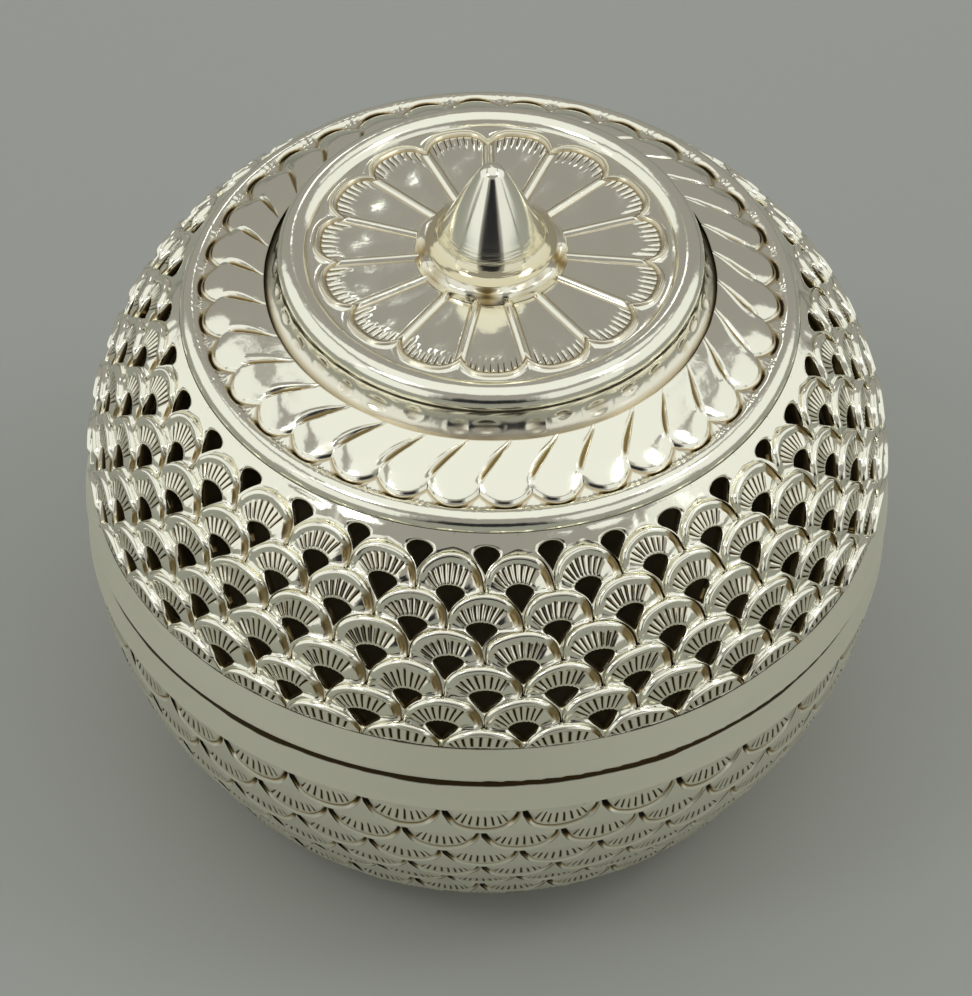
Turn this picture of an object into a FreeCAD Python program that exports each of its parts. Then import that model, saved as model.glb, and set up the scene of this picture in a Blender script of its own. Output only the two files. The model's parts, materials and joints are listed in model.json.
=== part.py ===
import FreeCAD, Part
import math
import os
import Sketcher

# Round silver box with a pierced, chased dome lid and a small cone finial.
# Millimetres, +Z up, origin at the middle of the flat base.

SIZES = {
    # Whole outline; the widest radius is the lid's lower edge
    "lid_edge_radius": 40.0,
    "joint_height": 32.0,
    # Bowl, its radii given as insets from the lid's edge
    "rim_inset": 0.4,
    "flank_inset": 6.2,
    "flank_height": 9.8,
    "base_inset": 17.0,
    "flank_bulge": 35.0,
    "base_bulge": 15.0,
    "flank_slope": 31.5,
    "bowl_wall": 0.9,
    # Chased scales on the bowl
    "bowl_row_pitch": 3.84,
    "bowl_row_offset": 0.14,
    "bowl_groove": 0.3,
    "bowl_lip": 0.15,
    "bowl_fade": 12.0,
    # Plain band round the bowl's mouth
    "bowl_band_height": 4.4,
    "bowl_band_inset": 0.1,
    "bowl_band_taper": 0.4,
    "band_edge_round": 0.35,
    # Inner collar that the lid slips over
    "collar_wall": 0.8,
    "collar_rise": 3.4,
    "collar_drop": 1.6,
    "solder_gap": 0.04,
    "lid_fit": 0.25,
    "lid_seam": 0.2,
    # Plain band round the lid's lower edge
    "lid_band_height": 4.2,
    "lid_band_wall": 1.6,
    "lid_band_taper": 0.7,
    # Dome
    "dome_wall": 0.9,
    "dome_bulge": 26.3,
    "dome_inset": 9.3,
    "dome_rise": 19.8,
    "dome_top_slope": 49.0,
    # Chased and pierced scales on the dome
    "scales_round": 32,
    "arch_facets": 4,
    "hole_rows": 6,
    "lowest_row": 2.6,
    "row_pitch": 3.62,
    "hole_drop": 0.6,
    "hole_height": 2.6,
    "hole_share": 0.39,
    "lip_rise": 0.32,
    "lip_step": 0.18,
    "lip_share": 0.16,
    "facet_ledge": 0.1,
    # Plain ridge above the dome
    "ridge_width": 1.9,
    "ridge_rise": 1.5,
    "ridge_bulge": 1.35,
    # Gadrooned shelf inside the ridge
    "shelf_width": 6.3,
    "shelf_rise": 2.2,
    "shelf_wall": 1.0,
    "seat_width": 2.0,
    "flutes_round": 34,
    "flute_turn": 0.36,
    "flute_lean": 0.52,
    "lean_start": 0.3,
    "lean_bend": 1.7,
    "flute_half_width": 0.1,
    "flute_depth": 0.45,
    "panel_rise": 0.2,
    "panel_step": 0.25,
    "scallop_floor": 0.2,
    "scallop_reach": 0.5,
    "scallop_cusp": 1.15,
    "cusp_half_width": 0.385,
    "cusp_bend": 1.3,
    # Medallion with a coved wall and a bead round its edge
    "cove_rise": 2.6,
    "cove_inset": 1.4,
    "cove_hollow": 3.0,
    "bead_width": 2.7,
    "bead_rise": 2.2,
    "bead_bulge": 1.5,
    "medallion_wall": 0.9,
    "medallion_drop": 0.9,
    "medallion_inset": 0.27,
    # Petals on the medallion, edged by a raised line
    "petals_round": 15,
    "petal_turn": 1.7,
    "petal_line": 0.7,
    "petal_rise": 0.25,
    "petal_tip_inset": 1.0,
    "petal_end_rise": 1.75,
    "petal_foot_gap": 0.1,
    # Cone finial on its rounded flange
    "flange_radius": 7.4,
    "flange_side": 0.5,
    "flange_height": 1.3,
    "flange_bulge": 1.1,
    "flange_margin": 0.2,
    "cone_radius": 5.9,
    "cone_height": 9.8,
    "tip_radius": 1.0,
    "tip_drop": 0.4,
    "tip_flat": 0.5,
}

# Outline of a pierced hole, as shares of its width and height
HOLE_SHAPE = [(0.0, -0.52), (0.5, 0.2), (0.34, 0.41), (0.0, 0.48), (-0.34, 0.41), (-0.5, 0.2)]


class Length:
    """A length with the sheet expression that drives it."""

    def __init__(self, text, number):
        self.text = text
        self.number = number

    def __add__(self, other):
        other = length(other)
        return Length(f"({self.text} + {other.text})", self.number + other.number)

    def __sub__(self, other):
        other = length(other)
        return Length(f"({self.text} - {other.text})", self.number - other.number)

    def __mul__(self, factor):
        return Length(f"({self.text} * {factor})", self.number * factor)


def length(value):
    """A plain number as a length; a length stays as it is."""
    if isinstance(value, Length):
        return value
    return Length(str(value), float(value))


doc = FreeCAD.newDocument("silver_box")
sheet = doc.addObject("Spreadsheet::Sheet", "Sizes")
for row, (alias, number) in enumerate(SIZES.items(), start=1):
    sheet.set(f"A{row}", alias)
    sheet.set(f"B{row}", str(number))
    sheet.setAlias(f"B{row}", alias)
doc.recompute()


def size(alias):
    """One size of the sheet."""
    return Length(f"Sizes.{alias}", float(sheet.get(alias)))


def count(alias):
    """One whole number of the sheet."""
    return int(sheet.get(alias))


ZERO = length(0)
EDGE_RADIUS = size("lid_edge_radius")
JOINT = size("joint_height")
BOWL_RIM = JOINT - size("lid_seam") - size("bowl_band_height")
BOWL_BAND_TOP = JOINT - size("lid_seam")
RIM_RADIUS = EDGE_RADIUS - size("rim_inset")
FLANK_RADIUS = EDGE_RADIUS - size("flank_inset")
BASE_RADIUS = EDGE_RADIUS - size("base_inset")
BAND_FOOT_RADIUS = EDGE_RADIUS - size("bowl_band_inset")
BAND_TOP_RADIUS = BAND_FOOT_RADIUS - size("bowl_band_taper")
LID_BORE = EDGE_RADIUS - size("lid_band_wall")
COLLAR_RADIUS = LID_BORE - size("lid_fit")
BAND_BORE = COLLAR_RADIUS + size("solder_gap")
DOME_FOOT = JOINT + size("lid_band_height")
DOME_TOP = DOME_FOOT + size("dome_rise")
DOME_FOOT_RADIUS = EDGE_RADIUS - size("lid_band_taper")
DOME_TOP_RADIUS = DOME_FOOT_RADIUS - size("dome_inset")
RIDGE_RADIUS = DOME_TOP_RADIUS - size("ridge_width")
RIDGE_TOP = DOME_TOP + size("ridge_rise")
SHELF_RADIUS = RIDGE_RADIUS - size("shelf_width")
SHELF_TOP = RIDGE_TOP + size("shelf_rise")
SEAT_RADIUS = SHELF_RADIUS - size("seat_width")
COVE_RADIUS = SHELF_RADIUS - size("cove_inset")
COVE_TOP = SHELF_TOP + size("cove_rise")
BEAD_BORE = COVE_RADIUS - size("bead_width")
MEDALLION_TOP = COVE_TOP + size("bead_rise") - size("medallion_drop")
FLANGE_TOP = MEDALLION_TOP + size("flange_height")
CONE_TIP = FLANGE_TOP + size("cone_height")


def new_body(name):
    """An empty body whose label is the name of its piece."""
    body = doc.addObject("PartDesign::Body", name)
    body.Label = name
    body.Placement = FreeCAD.Placement()
    return body


def plane_of(body, role):
    """One of the body's own origin planes."""
    return next(item for item in body.Origin.OriginFeatures if item.Role == role)


def new_sketch(body, name, role):
    """An empty sketch on one of the body's origin planes."""
    sketch = body.newObject("Sketcher::SketchObject", name)
    sketch.AttachmentSupport = [(plane_of(body, role), "")]
    sketch.MapMode = "FlatFace"
    return sketch


def arc_between(start, end, radius):
    """The arc from start to end that bulges to the right of its way."""
    chord = end - start
    half = chord.Length / 2
    left = FreeCAD.Vector(-chord.y, chord.x, 0).normalize()
    centre = (start + end) / 2 + left * math.sqrt(max(radius**2 - half**2, 0.0))
    circle = Part.Circle(centre, FreeCAD.Vector(0, 0, 1), radius)
    first = math.atan2(start.y - centre.y, start.x - centre.x)
    last = math.atan2(end.y - centre.y, end.x - centre.x)
    return Part.ArcOfCircle(circle, first, last)


def pin(sketch, edge, end, corner):
    """Ties one end of an edge to a corner given by two lengths."""
    for kind, axis, place in zip(("DistanceX", "DistanceY"), (-2, -1), corner):
        if place.text == "0":
            sketch.addConstraint(Sketcher.Constraint("PointOnObject", edge, end, axis))
            continue
        index = sketch.addConstraint(
            Sketcher.Constraint(kind, -1, 1, edge, end, place.number)
        )
        sketch.setExpression(f"Constraints[{index}]", place.text)


def outline(sketch, corners, bulges=None):
    """Closes an outline through the corners.

    bulges gives the radius and the side of a round stretch by the number of the corner
    that it starts from. "out" bulges to the right of the way round and "in" to the left.
    """
    bulges = bulges or {}
    total = len(corners)
    ends = []
    for number, corner in enumerate(corners):
        following = corners[(number + 1) % total]
        start = FreeCAD.Vector(corner[0].number, corner[1].number, 0)
        end = FreeCAD.Vector(following[0].number, following[1].number, 0)
        if number not in bulges:
            edge = sketch.addGeometry(Part.LineSegment(start, end), False)
            ends.append((edge, 1, 2))
            continue
        radius, side = bulges[number]
        if side == "out":
            edge = sketch.addGeometry(arc_between(start, end, radius.number), False)
            ends.append((edge, 1, 2))
        else:
            edge = sketch.addGeometry(arc_between(end, start, radius.number), False)
            ends.append((edge, 2, 1))
        index = sketch.addConstraint(Sketcher.Constraint("Radius", edge, radius.number))
        sketch.setExpression(f"Constraints[{index}]", radius.text)
    for number, corner in enumerate(corners):
        edge, first, _ = ends[number]
        before, _, last = ends[number - 1]
        sketch.addConstraint(Sketcher.Constraint("Coincident", before, last, edge, first))
        pin(sketch, edge, first, corner)
    return sketch


def turned(body, name, corners, bulges=None):
    """A solid of revolution about Z from an outline of (radius, height) corners."""
    sketch = outline(new_sketch(body, f"{name}_outline", "XZ_Plane"), corners, bulges)
    turn = body.newObject("PartDesign::Revolution", f"{name}_turn")
    turn.Profile = sketch
    turn.ReferenceAxis = (sketch, ["V_Axis"])
    turn.Angle = 360
    return turn


def pattern_round(body, name, feature, copies, alias):
    """Repeats a feature evenly about Z and makes the pattern the body's tip."""
    pattern = body.newObject("PartDesign::PolarPattern", name)
    pattern.Originals = [feature]
    pattern.Axis = (plane_of(body, "Z_Axis"), [""])
    pattern.Angle = 360
    pattern.Occurrences = copies
    pattern.setExpression("Occurrences", f"Sizes.{alias}")
    body.Tip = pattern
    return pattern


class Stretch:
    """A round or straight stretch of an outline that facets are laid on."""

    def __init__(self, start, end, radius=None):
        self.start = FreeCAD.Vector(start[0].number, start[1].number, 0)
        self.end = FreeCAD.Vector(end[0].number, end[1].number, 0)
        self.radius = radius and radius.number
        self.length = (self.end - self.start).Length
        if radius:
            curve = arc_between(self.start, self.end, self.radius)
            self.centre = curve.Center
            self.first = curve.FirstParameter
            self.length = self.radius * (curve.LastParameter - curve.FirstParameter)

    def point(self, way, out):
        """Radius and height at a way along the stretch, raised by out."""
        if self.radius:
            turn = self.first + way / self.radius
            spoke = FreeCAD.Vector(math.cos(turn), math.sin(turn), 0)
            return self.centre + spoke * (self.radius + out)
        along = (self.end - self.start).normalize()
        return self.start + along * way + FreeCAD.Vector(along.y, -along.x, 0) * out


class Wall:
    """Stretches in a row, wrapped round Z in even pitches.

    Raised points are lowered over the first stretch of length fade, so that nothing
    stands out below a flat base.
    """

    def __init__(self, stretches, copies, turn=0.0, fade=0.0):
        self.stretches = stretches
        self.copies = copies
        self.turn = turn
        self.fade = fade
        self.length = sum(part.length for part in stretches)

    def point(self, pitches, way, out):
        """A corner on the wall; past either end it stays on that end's circle."""
        if way <= 0 or way >= self.length:
            way = min(max(way, 0.0), self.length)
            out = 0.0
        if out > 0 and way < self.fade:
            out *= way / self.fade
        rest = way
        for part in self.stretches[:-1]:
            if rest <= part.length:
                break
            rest -= part.length
        else:
            part = self.stretches[-1]
        place = part.point(rest, out)
        angle = math.tau * (pitches + self.turn) / self.copies
        return FreeCAD.Vector(place.x * math.cos(angle), place.x * math.sin(angle), place.y)

    def at_end(self, ways):
        """Whether all the ways lie past one end."""
        return all(way <= 0 for way in ways) or all(way >= self.length for way in ways)

    def facet(self, corners):
        """A triangle through (pitches, way, out) corners, or None where it closes up."""
        if self.at_end([way for _, way, _ in corners]):
            return None
        a, b, c = [self.point(*corner) for corner in corners]
        if (b - a).cross(c - a).Length < 1e-6:
            return None
        return Part.Face(Part.makePolygon([a, b, c, a]))


def fan(middle, ring):
    """Corners of the triangles from a middle out to a closed ring."""
    return [(middle, a, b) for a, b in zip(ring, ring[1:] + ring[:1])]


def strip(lower, upper):
    """Corners of the triangles between two rows of points."""
    pairs = zip(lower, lower[1:], upper, upper[1:])
    return [corners for a, b, c, d in pairs for corners in ((a, b, d), (a, d, c))]


def arch_points(steps):
    """Points on the round arch of a scale, in pitches and rows, from right to left."""
    turns = [math.pi * step / steps for step in range(steps + 1)]
    return [(0.5 * math.cos(turn), math.sin(turn)) for turn in turns]


def scale_facets(wall, rows, first, pitch, side, lip, step):
    """Facets of rows of overlapping scales, every other row set over by half.

    Each scale has a raised lip along its arch and a step down to the next scale. side
    is 1 where the arches point up the wall and -1 where they hang down it.
    """
    steps = count("arch_facets")
    arch = arch_points(steps)
    half = steps // 2
    width = size("lip_share").number
    flanks = [(x - 0.5, y - 1) for x, y in arch[half - 1::-1]]
    flanks += [(x + 0.5, y - 1) for x, y in arch[-2:half:-1]]
    faces = []
    for row in range(rows + 1):
        for column in range(wall.copies):

            def corner(place, out):
                x, y = place
                return (column + row % 2 / 2 + x, first + pitch * (row + side * y), out)

            edge = [corner(place, -step) for place in arch]
            crest = [corner((x * (1 - width), y * (1 - width)), lip) for x, y in arch[1:-1]]
            crest = [edge[0]] + crest + [edge[-1]]
            if side > 0 and row == rows:
                top = (wall.length - first) / pitch - row
                crest = [corner((x, y), 0) for x, y in ((0.5, 0), (0.5, top), (0, top))]
                crest += [corner((x, y), 0) for x, y in ((-0.5, top), (-0.5, 0))]
                crest[0] = edge[0]
                crest[-1] = edge[-1]
                corners = []
            else:
                corners = strip(crest, edge)
            below = [corner(place, -step) for place in flanks]
            corners += fan(corner((0, 0), 0), crest + below)
            faces += [face for face in map(wall.facet, corners) if face]
    return faces


def closed(points):
    """Points with the first one again at the end."""
    return points + points[:1]


def ring_face(height, rim, circle_radius):
    """A flat ring between a many-sided rim and a circle, at one height."""
    centre = FreeCAD.Vector(0, 0, height.number)
    circle = Part.Wire(Part.makeCircle(circle_radius.number, centre))
    polygon = Part.makePolygon(rim + rim[:1])
    return Part.makeFace([polygon, circle], "Part::FaceMakerBullseye")


def rim_points(wall, places, way):
    """Corners all round a wall's end from places in one pitch."""
    return [
        wall.point(column + place, way, 0.0)
        for column in range(wall.copies)
        for place in places
    ]


def turned_faces(corners, bulges=None):
    """Smooth turned faces through (radius, height) corners.

    bulges gives the radius and the side of a round stretch by its first corner.
    """
    bulges = bulges or {}
    points = [FreeCAD.Vector(r.number, h.number, 0) for r, h in corners]
    faces = []
    for number, (start, end) in enumerate(zip(points, points[1:])):
        if number in bulges:
            radius, side = bulges[number]
            ends = (start, end) if side == "out" else (end, start)
            edge = arc_between(*ends, radius.number).toShape()
        else:
            edge = Part.makeLine(start, end)
        edge.rotate(FreeCAD.Vector(), FreeCAD.Vector(1, 0, 0), 90)
        faces += edge.revolve(FreeCAD.Vector(), FreeCAD.Vector(0, 0, 1), 360).Faces
    return faces


def closed_solid(name, faces):
    """One solid from faces that close round it."""
    shell = Part.makeCompound(faces)
    shell.sewShape()
    solid = Part.Solid(shell.Shells[0])
    solid.fix(1e-6, 1e-6, 1e-6)
    piece = doc.addObject("Part::Feature", name)
    piece.Label = name
    piece.Shape = solid
    return piece


def make_bowl():
    """Raised bowl with a flat base and rows of chased scales that hang down its wall."""
    wall = size("bowl_wall")
    slope = math.radians(size("flank_slope").number)
    base = (BASE_RADIUS, ZERO)
    flank = (FLANK_RADIUS, size("flank_height"))
    rim = (RIM_RADIUS, BOWL_RIM)
    side = Wall(
        [Stretch(base, flank, size("base_bulge")), Stretch(flank, rim, size("flank_bulge"))],
        count("scales_round"),
        fade=size("bowl_fade").number,
    )
    pitch = size("bowl_row_pitch").number
    rows = math.ceil(side.length / pitch)
    first = side.length - rows * pitch + size("bowl_row_offset").number
    groove = size("bowl_groove").number
    faces = scale_facets(side, rows, first, pitch, -1, size("bowl_lip").number, groove)
    faces.append(Part.Face(Part.makePolygon(closed(rim_points(side, (0, 0.5), 0)))))
    faces.append(ring_face(BOWL_RIM, rim_points(side, (0, 0.5), side.length), RIM_RADIUS - wall))
    faces += turned_faces(
        [
            (RIM_RADIUS - wall, BOWL_RIM),
            (
                FLANK_RADIUS - wall * math.cos(slope),
                size("flank_height") + wall * math.sin(slope),
            ),
            (BASE_RADIUS, wall),
            (ZERO, wall),
        ],
        {0: (size("flank_bulge") - wall, "in"), 1: (size("base_bulge") - wall, "in")},
    )
    return closed_solid("bowl", faces)


def make_bowl_band():
    """Plain strip soldered on the bowl's mouth, a little wider at its foot."""
    edge = size("band_edge_round")
    body = new_body("bowl_band")
    turned(
        body,
        "bowl_band",
        [
            (BAND_BORE, BOWL_RIM),
            (BAND_FOOT_RADIUS - edge, BOWL_RIM),
            (BAND_FOOT_RADIUS, BOWL_RIM + edge),
            (BAND_TOP_RADIUS, BOWL_BAND_TOP - edge),
            (BAND_TOP_RADIUS - edge, BOWL_BAND_TOP),
            (BAND_BORE, BOWL_BAND_TOP),
        ],
        {1: (edge, "out"), 3: (edge, "out")},
    )
    return body


def make_collar():
    """Thin inner ring that stands up out of the bowl and guides the lid."""
    body = new_body("bowl_collar")
    foot = BOWL_RIM - size("collar_drop")
    top = JOINT + size("collar_rise")
    turned(
        body,
        "bowl_collar",
        [
            (COLLAR_RADIUS - size("collar_wall"), foot),
            (COLLAR_RADIUS, foot),
            (COLLAR_RADIUS, top),
            (COLLAR_RADIUS - size("collar_wall"), top),
        ],
    )
    return body


def make_lid_band():
    """Plain strip round the lid's lower edge."""
    edge = size("band_edge_round")
    body = new_body("lid_band")
    turned(
        body,
        "lid_band",
        [
            (LID_BORE, JOINT),
            (EDGE_RADIUS - edge, JOINT),
            (EDGE_RADIUS, JOINT + edge),
            (DOME_FOOT_RADIUS, DOME_FOOT),
            (LID_BORE, DOME_FOOT),
        ],
        {1: (edge, "out")},
    )
    return body


def dome_stretch():
    """The dome's round outline from the band up to the ridge."""
    top = (DOME_TOP_RADIUS + size("facet_ledge"), DOME_TOP)
    return Stretch((DOME_FOOT_RADIUS, DOME_FOOT), top, size("dome_bulge"))


def shelf_facets(shelf, places):
    """Facets of the gadroon: convex panels, slanted crescent flutes, scalloped border."""
    half = size("flute_half_width").number
    rise = size("panel_rise").number
    floor = size("scallop_floor").number
    step = size("panel_step").number
    lean = size("flute_lean").number
    start = size("lean_start").number
    cusps = [max(0.0, 1 - abs(place) / size("cusp_half_width").number) for place in places]
    bend = size("cusp_bend").number
    edges = [
        size("scallop_reach").number + size("scallop_cusp").number * cusp**bend
        for cusp in cusps
    ]
    levels = [
        # way along the shelf, flute width, flute depth, panel height
        (0.38, 0.3, 0.0, 1.0),
        (0.54, 1.0, 1.0, 1.0),
        (0.75, 0.9, 1.0, 1.0),
        (0.92, 0.4, 0.2, 0.7),
    ]
    rows = [
        [(place, 0.0, 0.0) for place in places],
        [(place, edge, -floor) for place, edge in zip(places, edges)],
        [(place, edge + step, rise) for place, edge in zip(places, edges)],
    ]
    for share, width, depth, panel in levels:
        turn = lean * (max(share - start, 0.0) / (1 - start)) ** size("lean_bend").number
        row = []
        for place in places:
            near = abs(place) <= half
            across = place * width if near else place
            sunk = size("flute_depth").number * depth if place == 0 else 0.0
            row.append((across + turn, share * shelf.length, rise * panel - sunk))
        rows.append(row)
    rows.append([(place + lean, shelf.length, 0.0) for place in places])
    faces = []
    for column in range(shelf.copies):
        for lower, upper in zip(rows, rows[1:]):
            near = [(x + column, way, out) for x, way, out in lower]
            far = [(x + column, way, out) for x, way, out in upper]
            faces += [face for face in map(shelf.facet, strip(near, far)) if face]
    return faces


def make_lid_dome():
    """Dome with chased scales, a plain ridge and the gadrooned shelf, pierced in rows."""
    wall = size("dome_wall")
    shelf_wall = size("shelf_wall")
    ledge = size("facet_ledge")
    slope = math.radians(size("dome_top_slope").number)
    dome = Wall([dome_stretch()], count("scales_round"))
    half = size("flute_half_width").number
    places = [-0.5, -0.3, -half, 0.0, half, 0.3, 0.5]
    shelf = Wall(
        [Stretch((RIDGE_RADIUS - ledge, RIDGE_TOP), (SHELF_RADIUS, SHELF_TOP))],
        count("flutes_round"),
        size("flute_turn").number,
    )
    first = (size("lowest_row") - size("row_pitch")).number
    faces = scale_facets(
        dome, count("hole_rows"), first, size("row_pitch").number, 1,
        size("lip_rise").number, size("lip_step").number,
    )
    faces += shelf_facets(shelf, places)
    ends = [place + size("flute_lean").number for place in places[:-1]]
    faces += [
        ring_face(DOME_FOOT, rim_points(dome, (0, 0.5), 0), DOME_FOOT_RADIUS - wall),
        ring_face(DOME_TOP, rim_points(dome, (0, 0.5), dome.length), DOME_TOP_RADIUS),
        ring_face(RIDGE_TOP, rim_points(shelf, places[:-1], 0), RIDGE_RADIUS),
        ring_face(SHELF_TOP, rim_points(shelf, ends, shelf.length), SEAT_RADIUS),
    ]
    faces += turned_faces(
        [(DOME_TOP_RADIUS, DOME_TOP), (RIDGE_RADIUS, RIDGE_TOP)], {0: (size("ridge_bulge"), "out")}
    )
    faces += turned_faces(
        [
            (SEAT_RADIUS, SHELF_TOP),
            (SEAT_RADIUS, SHELF_TOP - shelf_wall),
            (SHELF_RADIUS, SHELF_TOP - shelf_wall),
            (RIDGE_RADIUS, RIDGE_TOP - shelf_wall),
            (DOME_TOP_RADIUS - wall * math.cos(slope), DOME_TOP - wall * math.sin(slope)),
            (DOME_FOOT_RADIUS - wall, DOME_FOOT),
        ],
        {4: (size("dome_bulge") - wall, "in")},
    )
    return pierce_dome(closed_solid("dome_sheet", faces))


def fan_prism(row, place):
    """One fan-shaped cutter through the sheet, arched above and pointed below."""
    outline_arc = dome_stretch()
    bulge = outline_arc.radius
    copies = count("scales_round")
    climb = (size("lowest_row") - size("hole_drop") + size("row_pitch") * row).number
    tilt = outline_arc.first + climb / bulge
    wide = math.tau * outline_arc.point(climb, 0).x / copies * size("hole_share").number
    high = size("hole_height").number
    reach = size("dome_wall").number * 2
    loop = [
        FreeCAD.Vector(bulge - reach, across * wide, up * high) for across, up in HOLE_SHAPE
    ]
    prism = Part.Face(Part.makePolygon(closed(loop))).extrude(
        FreeCAD.Vector(reach * 2, 0, 0)
    )
    prism.rotate(FreeCAD.Vector(), FreeCAD.Vector(0, -1, 0), math.degrees(tilt))
    prism.translate(FreeCAD.Vector(outline_arc.centre.x, 0, outline_arc.centre.y))
    prism.rotate(FreeCAD.Vector(), FreeCAD.Vector(0, 0, 1), place * 360 / copies)
    return prism


def pierce_dome(sheet_body):
    """A fan-shaped hole through the middle of every scale above the lowest row."""
    cutters = doc.addObject("Part::Feature", "piercing")
    cutters.Shape = Part.makeCompound(
        [
            fan_prism(row, place + (row + 1) % 2 / 2)
            for row in range(count("hole_rows"))
            for place in range(count("scales_round"))
        ]
    )
    dome = doc.addObject("Part::Cut", "lid_dome")
    dome.Label = "lid_dome"
    dome.Base = sheet_body
    dome.Tool = cutters
    return dome


def make_medallion():
    """Raised disc with a coved wall, a half-round bead and petals edged by raised lines."""
    wall = size("medallion_wall")
    body = new_body("lid_medallion")
    turned(
        body,
        "lid_medallion",
        [
            (SEAT_RADIUS, SHELF_TOP),
            (SHELF_RADIUS, SHELF_TOP),
            (COVE_RADIUS, COVE_TOP),
            (BEAD_BORE, MEDALLION_TOP),
            (ZERO, MEDALLION_TOP),
            (ZERO, MEDALLION_TOP - wall),
            (BEAD_BORE, MEDALLION_TOP - wall),
            (SEAT_RADIUS - size("medallion_inset"), COVE_TOP - wall),
        ],
        {1: (size("cove_hollow"), "in"), 2: (size("bead_bulge"), "out")},
    )
    petal = new_sketch(body, "petal_outline", "XY_Plane")
    turn = FreeCAD.Rotation(FreeCAD.Vector(0, 0, 1), size("petal_turn").number)
    height = FreeCAD.Vector(0, 0, MEDALLION_TOP.number)
    petal.AttachmentOffset = FreeCAD.Placement(height, turn)
    petal.setExpression("AttachmentOffset.Base.z", MEDALLION_TOP.text)
    line = size("petal_line").number
    petal_wire(petal, line / 2)
    petal_wire(petal, -line / 2)
    pad = body.newObject("PartDesign::Pad", "petal_lines")
    pad.Profile = petal
    pad.setExpression("Length", size("petal_rise").text)
    petal.Visibility = False
    pattern_round(body, "petals", pad, count("petals_round"), "petals_round")
    return body


def petal_wire(sketch, grow):
    """One closed petal outline with a round outer end, grown all round by grow."""
    half_turn = math.pi / count("petals_round")
    foot = size("flange_radius").number + size("petal_foot_gap").number
    foot += size("petal_line").number / 2 - grow
    tip = BEAD_BORE.number - size("petal_tip_inset").number - size("petal_line").number / 2
    shoulder = tip - size("petal_end_rise").number
    slack = grow / math.cos(half_turn)
    inner = foot * math.tan(half_turn) + slack
    outer = shoulder * math.tan(half_turn) + slack
    corners = [
        FreeCAD.Vector(-inner, -foot, 0),
        FreeCAD.Vector(-outer, -shoulder, 0),
        FreeCAD.Vector(0, -tip - grow, 0),
        FreeCAD.Vector(outer, -shoulder, 0),
        FreeCAD.Vector(inner, -foot, 0),
    ]
    sketch.addGeometry(Part.LineSegment(corners[0], corners[1]), False)
    sketch.addGeometry(Part.Arc(corners[1], corners[2], corners[3]), False)
    sketch.addGeometry(Part.LineSegment(corners[3], corners[4]), False)
    sketch.addGeometry(Part.LineSegment(corners[4], corners[0]), False)


def make_flange():
    """Rounded flange that the finial stands on."""
    body = new_body("finial_flange")
    side_top = MEDALLION_TOP + size("flange_side")
    turned(
        body,
        "finial_flange",
        [
            (ZERO, MEDALLION_TOP),
            (size("flange_radius"), MEDALLION_TOP),
            (size("flange_radius"), side_top),
            (size("cone_radius") + size("flange_margin"), FLANGE_TOP),
            (ZERO, FLANGE_TOP),
        ],
        {2: (size("flange_bulge"), "out")},
    )
    return body


def make_finial():
    """Straight-sided cone with a blunt, bevelled tip."""
    body = new_body("finial")
    turned(
        body,
        "finial",
        [
            (ZERO, FLANGE_TOP),
            (size("cone_radius"), FLANGE_TOP),
            (size("tip_radius"), CONE_TIP - size("tip_drop")),
            (size("tip_flat"), CONE_TIP),
            (ZERO, CONE_TIP),
        ],
    )
    return body


PIECES = [
    make_bowl(),
    make_bowl_band(),
    make_collar(),
    make_lid_band(),
    make_lid_dome(),
    make_medallion(),
    make_flange(),
    make_finial(),
]
doc.recompute()
for item in doc.Objects:
    if "Invalid" in item.State or "Error" in item.State:
        raise RuntimeError(f"{item.Name} didn't build")
os.makedirs("parts", exist_ok=True)
for piece in PIECES:
    if piece.Shape.isNull() or not piece.Shape.isValid():
        raise RuntimeError(f"{piece.Label} has no valid shape")
    piece.Shape.exportStep(f"parts/{piece.Label}.step")
    print(piece.Label, len(piece.Shape.Solids), len(piece.Shape.Faces), round(piece.Shape.Volume, 2))
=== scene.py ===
"""Looks of a round silver box with a pierced, chased dome lid and a cone finial."""

import json
import math
import random
from functools import partial

import bmesh
import bpy
from mathutils import Matrix, Vector

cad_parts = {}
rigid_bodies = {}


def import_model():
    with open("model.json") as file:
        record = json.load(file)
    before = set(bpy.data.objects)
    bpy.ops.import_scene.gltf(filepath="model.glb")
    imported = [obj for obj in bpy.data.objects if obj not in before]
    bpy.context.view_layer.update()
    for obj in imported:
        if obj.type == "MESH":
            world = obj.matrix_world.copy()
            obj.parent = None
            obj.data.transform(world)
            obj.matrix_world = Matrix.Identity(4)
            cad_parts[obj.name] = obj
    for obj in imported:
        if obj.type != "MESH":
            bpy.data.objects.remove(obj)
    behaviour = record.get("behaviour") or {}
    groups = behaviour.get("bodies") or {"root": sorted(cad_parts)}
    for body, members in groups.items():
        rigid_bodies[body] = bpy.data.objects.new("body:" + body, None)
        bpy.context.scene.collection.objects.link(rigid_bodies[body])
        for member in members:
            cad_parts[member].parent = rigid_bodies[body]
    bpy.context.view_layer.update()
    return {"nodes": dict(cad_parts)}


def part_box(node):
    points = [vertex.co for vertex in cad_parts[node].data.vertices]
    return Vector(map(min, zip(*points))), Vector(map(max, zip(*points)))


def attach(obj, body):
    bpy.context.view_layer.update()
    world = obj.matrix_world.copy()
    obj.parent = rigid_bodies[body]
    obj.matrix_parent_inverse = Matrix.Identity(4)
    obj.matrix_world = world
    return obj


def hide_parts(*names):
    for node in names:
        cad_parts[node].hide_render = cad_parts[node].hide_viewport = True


bl_info = {
    "name": "Pierced silver box",
    "version": (1, 0, 0),
    "blender": (4, 5, 0),
    "location": "3D View > Sidebar > Silver box",
    "description": "Builds the chased and pierced pieces of a round silver box",
    "category": "Add Mesh",
}

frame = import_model()

MM = 0.001

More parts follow.
